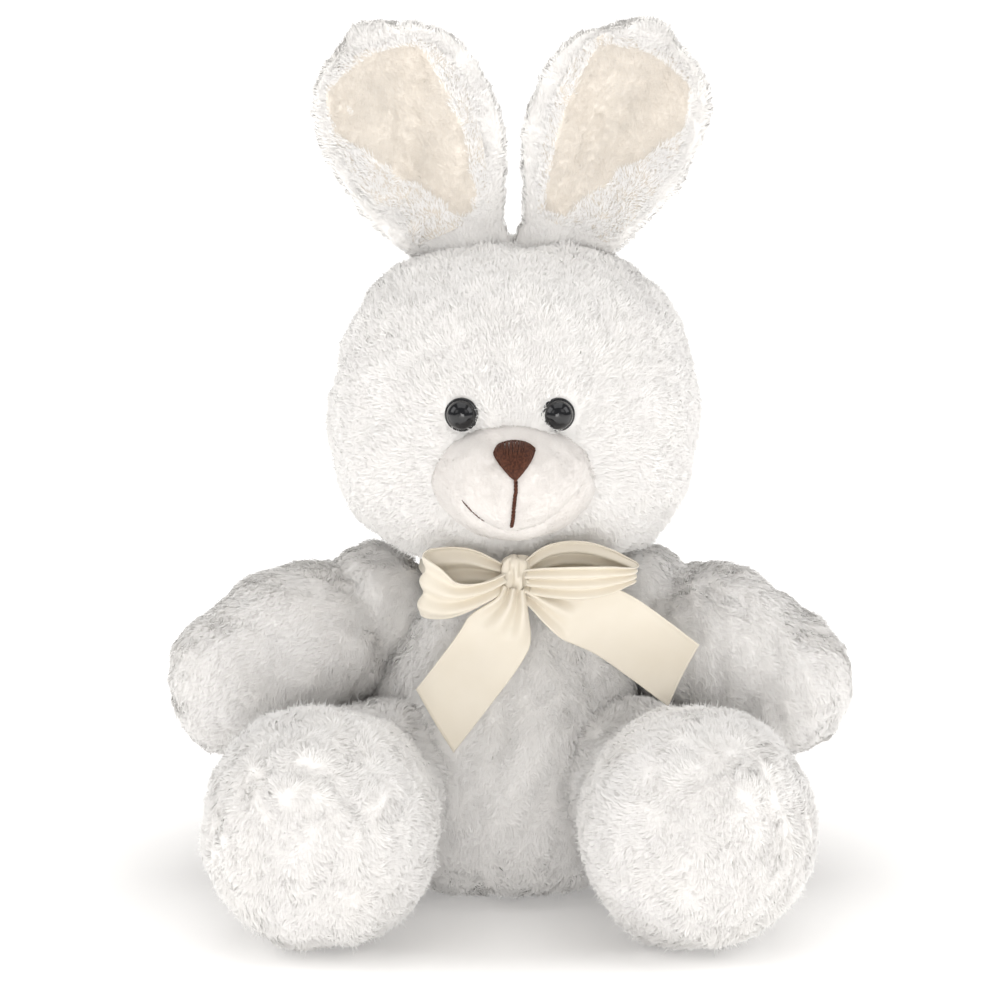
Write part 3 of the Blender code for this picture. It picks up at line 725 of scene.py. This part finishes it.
def build_ears():
    """Two upright ears: furred backs and rims round a smooth cream lining."""
    for side in SIDES:
        matrix = ear_matrix(side)
        inverse = np.linalg.inv(matrix)
        seed = 81 if side == "left" else 86
        around, rows = 150, 110
        share = 1 - (1 + EAR_FOOT) * (1 - np.linspace(0.0, 1.0, rows)[:, None]) ** 1.3
        angle = turns(around)
        place = np.sign(np.cos(angle)) * np.abs(np.cos(angle)) ** 0.9
        bulge = np.sign(np.sin(angle)) * np.abs(np.sin(angle)) ** 0.8
        y = ear_bend(place, share) + ear_thickness(share) * bulge + EAR_SETBACK
        points = placed(ear_points(place, share, side, y), matrix)
        shell = facing_out(points, grid_faces(rows, around, wrap=True))
        closing = np.repeat(np.clip((1.0 - share) / 0.06, 0.0, 1.0), around)
        shell.shift(0.7 * plush_relief(shell.vertices, seed) * closing)
        ear = make_mesh("ear_fabric_" + side, shell.vertices, capped(shell, rows, around), BACKING)
        fit(ear, "ear_" + side, "white_fur", "ear_back_" + side)

        rows, columns = 90, 61
        share = np.linspace(0.05, 0.9, rows)[:, None]
        place = np.linspace(-0.8, 0.86, columns)[None, :]
        front = ear_thickness(share) * (1 - np.abs(place) ** 2.2) ** 0.4
        inner = (1 - (place / 0.86) ** 4) * np.sin(math.pi * (share - 0.05) / 0.85) ** 0.5
        y = ear_bend(place, share) + EAR_SETBACK - front - 0.0011 - 0.0012 * inner
        faces = grid_faces(rows, columns)
        lining = Fabric(placed(ear_points(place, share, side, y), matrix), faces)
        if (lining.normals @ matrix[:3, 1]).sum() > 0:
            lining = Fabric(lining.vertices, faces[:, ::-1])
        lining.shift(0.0002 * waves(lining.vertices, 0.01, seed + 9))
        fabric_object("ear_lining_fabric_" + side, lining, "ear_" + side, CREAM_BACKING,
                      "ear_lining_" + side, slot="cream_velour", fill=None)

        def ear_place(roots):
            local = placed(roots, inverse)
            share = np.clip(local[:, 2] / EAR_LENGTH, 0.0, 1.0)
            return local, local[:, 0] / ear_line(share), share

        def in_lining(roots):
            return lined(*ear_place(roots)[1:])

        roots, normals = lining.roots(9.0, seed * 10 + 3, in_lining)
        comb = np.tile(matrix[:3, 2], (len(roots), 1))
        pile = grow_pile("ear_lining_pile_" + side, "ear_" + side, roots, normals, comb, CREAM,
                         0.0012, 0.00022, seed * 10 + 4, gather=0.1, ruffle=0.5, soft=0.92,
                         wild=0.0)

        def furred(roots):
            local, place, share = ear_place(roots)
            front = local[:, 1] < ear_bend(place, share) + 0.0008
            return ~(front & lined(place, share))

        def comb_of(roots):
            local = ear_place(roots)[0]
            outward = np.stack([local[:, 0] / 0.0228, 0 * local[:, 0], 0.9 + 0 * local[:, 0]], 1)
            return outward @ matrix[:3, :3].T

        cover_with_pile("ear_pile_" + side, shell, "ear_" + side, 6.5, (seed * 10 + 5,), furred,
                        comb_of, lambda _: EAR_PILE_LENGTH)
        frame_fur = lining.roots(6.0, seed * 10 + 7, lambda roots: ~in_lining(roots))
        comb = comb_of(frame_fur[0])
        pile = grow_pile("ear_frame_pile_" + side, "ear_" + side, *frame_fur, comb, FUR,
                         EAR_PILE_LENGTH, PILE_WIDTH, seed * 10 + 8, root_angle=45.0)


# ---------------- face

SMILE_MIDDLE = (0.00095, 0.1165)
SMILE_RISE = {-1: 45.5, 1: 30.0}


def smile_rise(offset):
    """How steeply the mouth fold curves up on each side of its middle."""
    return np.where(offset < 0, SMILE_RISE[-1], SMILE_RISE[1])


def smile_height(x):
    """Height of the mouth fold at x."""
    offset = x - SMILE_MIDDLE[0]
    return SMILE_MIDDLE[1] + smile_rise(offset) * offset ** 2


def build_muzzle():
    """The velour muzzle: two soft cheeks over a lip, with a fold that curves up as a smile."""
    rows, around = 100, 260
    polar = (np.linspace(0.0, 1.0, rows) ** 0.9 * math.radians(104.0))[:, None]
    turn = turns(around)[None, :]
    radii = np.array((0.0236, 0.0215, 0.017))
    x = MUZZLE_CENTRE[0] + radii[0] * np.sin(polar) * np.cos(turn)
    y = MUZZLE_CENTRE[1] - radii[1] * np.cos(polar) * np.ones_like(turn)
    z = MUZZLE_CENTRE[2] + radii[2] * np.sin(polar) * np.sin(turn)
    points = grid_points(x, y, z)
    muzzle = facing_out(points, grid_faces(rows, around, wrap=True), MUZZLE_CENTRE)
    offset = points[:, 0] - SMILE_MIDDLE[0]
    slope = 2 * smile_rise(offset) * offset
    across = (points[:, 2] - smile_height(points[:, 0])) / np.sqrt(1 + slope ** 2)
    reach = np.where(offset < 0, 0.0165 + offset, 0.0235 - offset)
    shown = np.clip(reach / 0.004, 0.0, 1.0) * np.where(offset > 0.01, 0.75, 1.0)
    relief = -0.001 * np.exp(-(across / 0.0007) ** 2) * shown
    relief += 0.0007 * np.exp(-((across + 0.0028) / 0.002) ** 2) * shown
    relief += 0.001 * np.exp(-((across - 0.0045) / 0.004) ** 2) * shown
    cleft = np.exp(-((points[:, 0] - 0.0014) / 0.0022) ** 2)
    relief -= 0.0007 * cleft * hump(np.abs(points[:, 2] - 0.1245), 0.011)
    relief += 0.00012 * waves(points, 0.006, 91) + 0.00015 * waves(points, 0.013, 92)
    muzzle.shift(relief)
    fabric_object("muzzle_fabric", muzzle, "head", VELOUR_BACKING, "muzzle_skin",
                  "muzzle_stuffing", slot="white_velour")
    roots, normals = muzzle.roots(9.0, 93, lambda p: p[:, 1] < -0.04)
    comb = from_point(roots, (0.0016, -0.075, 0.139)) + np.array((0.0, 0.0, -0.4))
    pile = grow_pile("muzzle_pile", "head", roots, normals, comb, VELOUR, 0.0009, 0.0002, 94,
                     gather=0.0, ruffle=0.4, soft=0.94, wild=0.0, root_angle=30.0)
    return BVHTree.FromPolygons([tuple(v) for v in muzzle.vertices],
                                [tuple(f) for f in muzzle.faces.tolist()])


def on_front(tree, x, z, lift):
    """The front point of a surface at x and z, lifted off it."""
    place, normal, _, _ = tree.ray_cast(Vector((x, -1.0, z)), Vector((0.0, 1.0, 0.0)))
    if normal.y > 0:
        normal = -normal
    return np.array(place + normal * lift)


THREAD_SIDES = 8


def thread_frame(line):
    """Two directions square to a thread at each of its points."""
    along = unit(np.gradient(line, axis=0))
    first = unit(np.cross(along, (0.0, 1.0, 0.05)))
    return first, np.cross(along, first)


def tube(line, radius, taper):
    """Vertices and faces of a round thread along a line, with closed ends."""
    line = np.asarray(line)
    first, second = thread_frame(line)
    sides = THREAD_SIDES
    angle = turns(sides)
    share = np.linspace(0.0, 1.0, len(line))
    girth = radius * (1 - taper * np.abs(2 * share - 1) ** 8)
    ring = (first[:, None] * np.cos(angle)[None, :, None]
            + second[:, None] * np.sin(angle)[None, :, None])
    points = line[:, None] + ring * girth[:, None, None]
    points = np.concatenate([points.reshape(-1, 3), line[:1], line[-1:]])
    faces = grid_faces(len(line), sides, wrap=True)
    turn = np.arange(sides)
    following = (turn + 1) % sides
    start = np.stack([np.full(sides, len(points) - 2), following, turn], 1)
    base = (len(line) - 1) * sides
    stop = np.stack([np.full(sides, len(points) - 1), base + turn, base + following], 1)
    return points, faces, np.concatenate([start, stop])


def thread_mesh(name, lines, radius, material, taper=0.3):
    """One object of several threads."""
    points, quads, triangles, count = [], [], [], 0
    for line in lines:
        vertices, sides_of, ends = tube(line, radius, taper)
        points.append(vertices)
        quads.append(sides_of + count)
        triangles.append(ends + count)
        count += len(vertices)
    return make_mesh(name, np.concatenate(points),
                     [np.concatenate(quads), np.concatenate(triangles)], material)


def twisted(line, radius, pitch):
    """Lines of the two plies of a twisted thread that follows a line."""
    line = np.asarray(line)
    first, second = thread_frame(line)
    travel = np.concatenate([[0.0], np.cumsum(np.linalg.norm(np.diff(line, axis=0), axis=1))])
    result = []
    for start in turns(2):
        angle = travel / pitch * math.tau + start
        result.append(line + radius * (first * np.cos(angle)[:, None]
                                       + second * np.sin(angle)[:, None]))
    return result


def build_stitching(tree):
    """The brown nose of fanned satin stitches, the stitched mouth line and the smile thread."""
    thread = grain_material("brown_thread", (0.11, 0.038, 0.019), (0.048, 0.015, 0.008), 1500.0,
                            0.6, bump=0.0001, sheen=0.05, specular=0.2)
    source = np.random.default_rng(95)
    top = smooth_line([(-0.0041, 0.1388), (-0.0024, 0.141), (0.0015, 0.1418), (0.0052, 0.1413),
                       (0.0075, 0.14)], 12)
    foot = np.array((0.0019, 0.132))
    lines = []
    strands = 31
    for index in range(strands):
        share = index / (strands - 1)
        start = top[round(share * (len(top) - 1))]
        end = foot + (0.001 * (share - 0.5), 0.0006 * abs(2 * share - 1))
        steps = np.linspace(0.0, 1.0, 15)
        path = start + (end - start) * steps[:, None]
        path[:, 0] += 0.0005 * (2 * share - 1) * np.sin(steps * math.pi)
        path += source.normal(0.0, 0.00004, path.shape)
        dome = 0.0016 * np.sqrt(np.maximum(1 - (2 * share - 1) ** 2, 0.0)) + 0.0002
        lift = 0.0004 + dome * np.sin(steps * math.pi * 0.86 + 0.22) ** 0.6
        lines.append([on_front(tree, x, z, up) for (x, z), up in zip(path, lift)])
    crossing = [on_front(tree, x, z, 0.0019) for x, z in smooth_line(
        [(0.0012, 0.135), (0.0026, 0.1362), (0.0034, 0.1378)], 5)]
    brow = [on_front(tree, x, z, 0.0009) for x, z in top[::3]]
    nose = thread_mesh("nose_threads", [*lines, crossing, brow], 0.00032, thread)
    fit(nose, "head", "brown_thread", "nose_embroidery")

    stitches = []
    for start, end in (((0.002, 0.1325), (0.0021, 0.1284)), ((0.002, 0.1288), (0.0014, 0.1236)),
                       ((0.0015, 0.124), (0.0008, 0.1184))):
        steps = np.linspace(0.0, 1.0, 30)[:, None]
        path = np.array(start) + (np.array(end) - np.array(start)) * steps
        height = 0.0001 + 0.0005 * np.sin(steps[:, 0] * math.pi) ** 0.5
        line = [on_front(tree, x, z, up) for (x, z), up in zip(path, height)]
        stitches += twisted(line, 0.00026, 0.002)
    mouth = thread_mesh("mouth_threads", stitches, 0.00036, thread)
    fit(mouth, "head", "brown_thread", "mouth_stitch")

    x = np.linspace(-0.0132, -0.0068, 40)
    line = [on_front(tree, here, smile_height(here) + 0.0002, 0.0002) for here in x]
    smile = thread_mesh("smile_thread", twisted(line, 0.0001, 0.0012), 0.00016, thread, taper=0.9)
    fit(smile, "head", "brown_thread", "smile_stitch")


def build_eyes():
    """Glossy black plastic eyes: a dome inside a thin rim."""
    black = grain_material("eye_plastic", (0.011, 0.011, 0.012), (0.007, 0.007, 0.008), 300.0,
                           0.13, specular=0.4)
    set_values(black.node_tree.nodes["Principled BSDF"],
               {"Coat Weight": 0.25, "Coat Roughness": 0.05})
    outline = ((0.0, 0.0042), (0.0014, 0.00405), (0.0027, 0.0034), (0.0037, 0.0023),
               (0.0042, 0.0012), (0.0043, 0.0007), (0.0046, 0.0006), (0.0049, 0.0002),
               (0.0048, -0.0006), (0.004, -0.001), (0.0, -0.0012))
    for side, sign in SIDES.items():
        yaw = sign * math.radians(EYE_YAW_DEG)
        outward = np.array((math.sin(yaw), -math.cos(yaw), 0.0))
        middle = EYE_CENTRES[side]
        front = np.array((middle[0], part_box("eye_" + side)[0][1], middle[2]))
        seat = front - outward * 0.0037 - np.array((0.0008, 0.0, 0.0))
        eye = turned(outline, 64, 6, aim(seat, seat + outward))
        obj = make_mesh("eye_dome_" + side, eye.vertices, eye.faces, black)
        fit(obj, "head", "black_plastic", "eye_" + side)


# ---------------- bow

def satin_material():
    """Cream satin: a fine weave that catches the light along the ribbon."""
    material, tree, shader = new_material("cream_satin")
    layer = add_node(tree, "TexCoord")
    weave = add_node(tree, "TexWave", {"Scale": 1100.0, "Distortion": 1.2})
    wire(tree, layer, "Object", weave, "Vector")
    noise = add_node(tree, "TexNoise", {"Scale": 90.0})
    wire(tree, layer, "Object", noise, "Vector")
    mix = add_node(tree, "Mix", {0: 0.75})
    wire(tree, weave, "Fac", mix, 2)
    wire(tree, noise, "Fac", mix, 3)
    colours = ramp(tree, ((0.3, (0.745, 0.68, 0.565)), (0.7, (0.785, 0.725, 0.62))))
    wire(tree, mix, 0, colours, "Fac")
    wire(tree, colours, "Color", shader, "Base Color")
    set_values(shader, {"Roughness": 0.36, "Specular IOR Level": 0.45, "Anisotropic": 0.5,
                        "Sheen Weight": 0.15})
    return material


RIBBON_WIDTH = 0.02
RIBBON_THICKNESS = 0.00024
GATHERED = 0.34
RIBBON_COLUMNS = 41
SELVAGE_START = 0.465
SELVAGE_SWELL = 1.9


def ribbon(name, node, points, acrosses, satin, widths=None, pleats=2.5, phase=0.0, cut=0.0,
           flutter=0.0, opening=0.32, fold=None):
    """A satin strip along a smooth line. Its width gathers into pleats where it meets the knot.

    acrosses are the directions of the width at even steps from start to end. A loop has widths,
    its gathered width at even steps; a tail opens from the knot; a band is folded all the way.
    """
    line = smooth_line(points, 16)
    steps = np.linalg.norm(np.diff(line, axis=0), axis=1)
    travel = np.concatenate([[0.0], np.cumsum(steps)])
    length = travel[-1]
    share = travel / length
    keys = np.linspace(0.0, 1.0, len(acrosses))
    across = unit(np.stack([np.interp(share, keys, [a[k] for a in acrosses]) for k in range(3)], 1))
    along = unit(np.gradient(line, axis=0))
    normal = unit(np.cross(along, across))
    across = unit(np.cross(normal, along))
    columns = RIBBON_COLUMNS
    u = np.linspace(-0.5, 0.5, columns)[None, :]
    if fold is None:
        if widths is None:
            opened = 1 - hump(share, opening)[:, None]
        else:
            drawn = smooth_line([(k, width) for k, width in enumerate(widths)], 12)
            shown = np.interp(share * (len(widths) - 1), drawn[:, 0], drawn[:, 1])
            opened = ((shown - GATHERED) / (1 - GATHERED))[:, None]
        chord = RIBBON_WIDTH * (GATHERED + (1 - GATHERED) * opened)
        slack = np.sqrt(np.maximum(RIBBON_WIDTH / chord - 1.0, 0.0))
        deep = chord / (math.pi * pleats) * slack * 0.95
        offset = deep * np.cos(u * math.tau * pleats + phase + 3.0 * share[:, None])
        offset = offset + flutter * np.sin(share * 7.0 + phase)[:, None] * opened * np.cos(u * 4)
        place = u * chord
    else:
        folds, depth = fold
        swing = (u + 0.5) * folds
        place = RIBBON_WIDTH / folds * (0.5 - np.abs(swing % 2 - 1)) * np.ones((len(line), 1))
        offset = (u * depth + 0.00012 * np.sin(share * 90)[:, None]) * np.ones((len(line), 1))
        opened = np.ones((len(line), 1))
    slip = cut * u * hump(1 - share, 0.45)[:, None]
    centre = (line[:, None] + across[:, None] * place[..., None] + normal[:, None] * offset[..., None]
              + along[:, None] * slip[..., None])
    sheet_normal = unit(np.cross(np.gradient(centre, axis=0), np.gradient(centre, axis=1)))
    edge = np.where(np.abs(u) > SELVAGE_START, SELVAGE_SWELL, 1.0)
    half = sheet_normal * (RIBBON_THICKNESS / 2 * edge)[..., None]
    both = np.concatenate([centre + half, (centre - half)[:, ::-1]], 1)
    rows, around = both.shape[:2]
    faces = grid_faces(rows, around, wrap=True)
    left = np.arange(columns - 1)
    cap = np.stack([left, left + 1, around - 2 - left, around - 1 - left], 1)
    strip = Fabric(both.reshape(-1, 3), np.concatenate(
        [faces, cap[:, ::-1], cap + (rows - 1) * around]))
    if (strip.normals.reshape(rows, around, 3)[:, :columns] * sheet_normal).sum() < 0:
        strip = Fabric(strip.vertices, strip.faces[:, ::-1])
    obj = make_mesh(name, strip.vertices, strip.faces, satin)
    fit(obj, "torso", "cream_satin", node)


def build_bow():
    """The satin bow: a gathered knot, two loops, two tails and a folded band round the neck."""
    satin = satin_material()
    low, high = (np.array(corner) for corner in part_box("ribbon_knot"))
    middle, radii = (low + high) / 2, (high - low) / 2
    rows, around = 60, 120
    polar = np.linspace(0.001, math.pi - 0.001, rows)[:, None]
    turn = turns(around)[None, :]
    ribs = 0.13 * np.sin(turn * 7 + 1.5 * np.sin(polar * 2.2)) + 0.06 * np.sin(turn * 13 + polar * 3)
    waist = 0.8 + 0.22 * np.cos(polar) ** 2
    wide = np.sin(polar) ** 0.55 * (waist + ribs * np.sin(polar))
    points = grid_points(
        middle[0] + radii[0] * wide * np.cos(turn), middle[1] + radii[1] * wide * np.sin(turn),
        middle[2] + radii[2] * np.cos(polar) * (0.94 + 0.05 * np.cos(turn * 3)))
    knot = facing_out(points, grid_faces(rows, around, wrap=True), middle)
    obj = make_mesh("ribbon_knot_gathers", knot.vertices, capped(knot, rows, around), satin)
    fit(obj, "torso", "cream_satin", "ribbon_knot")

    ribbon("ribbon_loop_satin_right", "ribbon_loop_right", (
        (-0.001, -0.0535, 0.1), (-0.008, -0.0585, 0.0975), (-0.016, -0.06, 0.0965),
        (-0.0225, -0.058, 0.0985), (-0.0246, -0.0545, 0.1), (-0.0215, -0.0505, 0.1012),
        (-0.0125, -0.049, 0.1028), (-0.002, -0.05, 0.102)),
        ((0.1, -0.35, 1.0), (0.1, -0.15, 1.0), (0.12, -0.25, 1.0)), satin,
        widths=(0.34, 0.42, 0.56, 0.86, 0.9, 0.8, 0.62, 0.34), phase=0.6, flutter=0.0003)
    ribbon("ribbon_loop_satin_left", "ribbon_loop_left", (
        (0.0055, -0.054, 0.1005), (0.014, -0.059, 0.1014), (0.024, -0.06, 0.102),
        (0.0325, -0.058, 0.1027), (0.036, -0.0548, 0.1032), (0.0325, -0.0522, 0.1042),
        (0.022, -0.05, 0.1062), (0.0125, -0.05, 0.1058), (0.0055, -0.0505, 0.1025)),
        ((0.0, -0.3, 1.0), (0.06, -0.45, 1.0), (0.1, -0.55, 1.0), (0.04, -0.5, 1.0),
         (0.0, -0.35, 1.0)), satin,
        widths=(0.36, 0.48, 0.55, 0.5, 0.3, 0.48, 0.6, 0.56, 0.36), pleats=3.0, phase=2.0,
        flutter=0.0003)
    ribbon("ribbon_tail_satin_right", "ribbon_tail_right", (
        (0.0016, -0.054, 0.0985), (0.0002, -0.056, 0.0925), (-0.005, -0.0562, 0.082),
        (-0.013, -0.0545, 0.0705), (-0.0213, -0.0525, 0.059)),
        ((1.0, 0.0, -0.1), (0.93, 0.0, -0.4), (0.88, 0.0, -0.47)), satin, phase=0.3,
        cut=0.0094, flutter=0.001)
    ribbon("ribbon_tail_satin_left", "ribbon_tail_left", (
        (0.0045, -0.053, 0.0985), (0.012, -0.0552, 0.0955), (0.0205, -0.0555, 0.0925),
        (0.0305, -0.0535, 0.0875), (0.0405, -0.0508, 0.08), (0.0508, -0.048, 0.0716)),
        ((0.3, 0.0, 0.95), (0.52, 0.0, 0.85), (0.64, 0.0, 0.77)), satin, phase=1.2,
        cut=-0.005, flutter=-0.0008)
    angle = np.linspace(0.0, math.tau, 33)
    ring = [(0.0257 * math.sin(a), -0.0095 + 0.0357 * math.cos(a), 0.0982) for a in angle]
    ribbon("ribbon_band_satin", "ribbon_neck_band", ring, ((0.0, 0.0, 1.0), (0.0, 0.0, 1.0)),
           satin, fold=(5, 0.0012))


def dress_cad_nodes():
    """Procedural looks for the CAD parts that stay as they are, inside the bunny."""
    washers = grain_material("washer_plastic", (0.78, 0.78, 0.75), (0.7, 0.7, 0.67), 400.0, 0.45)
    seam = grain_material("seam_thread", (0.84, 0.82, 0.78), (0.74, 0.71, 0.66), 1800.0, 0.75,
                          bump=0.0001)
    looks = {"eye_washer_left": washers, "eye_washer_right": washers, "neck_seam": seam}
    for name, material in looks.items():
        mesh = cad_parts[name].data
        mesh.materials.clear()
        mesh.materials.append(material)


build_head()
build_torso()
build_arms()
build_legs()
build_tail()
build_ears()
build_stitching(build_muzzle())
build_eyes()
build_bow()
dress_cad_nodes()


# ---------------- studio

WHITE = (1.0, 1.0, 1.0)
WARM = (1.0, 0.985, 0.97)
STUDIO_MIDDLE = (0.0, -0.02, 0.11)
STUDIO_HALF_WIDTH = 6.0


def area_light(name, place, size, power, colour=WHITE, target=STUDIO_MIDDLE):
    """A rectangular softbox."""
    data = bpy.data.lights.new(name, "AREA")
    data.shape = "RECTANGLE"
    data.size, data.size_y = size
    data.energy = power
    data.color = colour
    light = bpy.data.objects.new(name, data)
    light.location = place
    direction = Vector(target) - Vector(place)
    light.rotation_euler = direction.to_track_quat("-Z", "Y").to_euler()
    bpy.context.scene.collection.objects.link(light)


def build_studio():
    """A white floor that glows, an even white surround and six softboxes."""
    work = bpy.data.meshes.new("studio_floor")
    half = STUDIO_HALF_WIDTH
    work.from_pydata([(-half, -half, 0), (half, -half, 0), (half, half, 0), (-half, half, 0)],
                     [], [(0, 1, 2, 3)])
    floor = bpy.data.objects.new("studio_floor", work)
    bpy.context.scene.collection.objects.link(floor)
    white = grain_material("studio_floor", (0.93, 0.92, 0.91), (0.92, 0.91, 0.9), 6.0, 0.6,
                           specular=0.2)
    tree = white.node_tree
    shader = tree.nodes["Principled BSDF"]
    set_values(shader, {"Emission Color": (1.0, 0.995, 0.99, 1.0)})
    # Painted light: the floor glows, faintly within 9 cm of the middle and fully beyond 24 cm. It
    # reads white far out and darker round the bunny, as painted shade under it.
    place = add_node(tree, "TexCoord")
    distance = add_node(tree, "VectorMath")
    distance.operation = "LENGTH"
    glow = add_node(tree, "MapRange",
                    {"From Min": 0.09, "From Max": 0.24, "To Min": 0.18, "To Max": 1.0})
    wire(tree, place, "Object", distance, 0)
    wire(tree, distance, "Value", glow, "Value")
    wire(tree, glow, "Result", shader, "Emission Strength")
    work.materials.append(white)

    world = bpy.data.worlds.new("studio")
    bpy.context.scene.world = world
    world.use_nodes = True
    tree = world.node_tree
    background = tree.nodes["Background"]
    set_values(background, {"Color": (1.0, 0.975, 0.945, 1.0), "Strength": 0.4})
    seen = add_node(tree, "Background", {"Color": (*WHITE, 1.0)})
    dim = add_node(tree, "Background", {"Color": (0.9, 0.93, 1.0, 1.0), "Strength": 0.25})
    path = add_node(tree, "LightPath")
    glossy = add_node(tree, "MixShader")
    direct = add_node(tree, "MixShader")
    wire(tree, path, "Is Glossy Ray", glossy, 0)
    wire(tree, background, 0, glossy, 1)
    wire(tree, dim, 0, glossy, 2)
    wire(tree, path, "Is Camera Ray", direct, 0)
    wire(tree, glossy, 0, direct, 1)
    wire(tree, seen, 0, direct, 2)
    wire(tree, direct, 0, tree.nodes["World Output"], "Surface")

    area_light("softbox_right", (0.75, -0.95, 0.85), (0.55, 0.55), 1.0, WARM)
    area_light("softbox_left", (-0.8, -1.0, 0.75), (0.5, 0.5), 0.8, WARM)
    area_light("softbox_above", (0.0, -0.15, 1.4), (1.2, 1.2), 5.4)
    for side, sign in SIDES.items():
        area_light("softbox_side_" + side, (sign * 1.15, -0.25, 0.85), (0.8, 0.8), 4.0)
    area_light("softbox_front", (0.0, -1.25, 0.16), (0.6, 0.3), 3.3, WARM, (0.0, -0.02, 0.07))


CAMERA_ELEVATION_DEG = 10.0
CAMERA_DISTANCE = 1.2
CAMERA_TARGET = (-0.0024, 0.1148)


def build_camera():
    """The camera: a long lens, ten degrees above the bunny's middle."""
    data = bpy.data.cameras.new("camera")
    data.sensor_width = 36.0
    data.lens = 144.0
    data.clip_start = 0.05
    data.clip_end = 40.0
    camera = bpy.data.objects.new("camera", data)
    elevation = math.radians(CAMERA_ELEVATION_DEG)
    camera.location = (CAMERA_TARGET[0], -CAMERA_DISTANCE * math.cos(elevation),
                       CAMERA_TARGET[1] + CAMERA_DISTANCE * math.sin(elevation))
    camera.rotation_euler = (math.radians(90.0 - CAMERA_ELEVATION_DEG), 0.0, 0.0)
    bpy.context.scene.collection.objects.link(camera)
    bpy.context.scene.camera = camera


build_studio()
build_camera()
bpy.context.scene.view_settings.view_transform = "Standard"
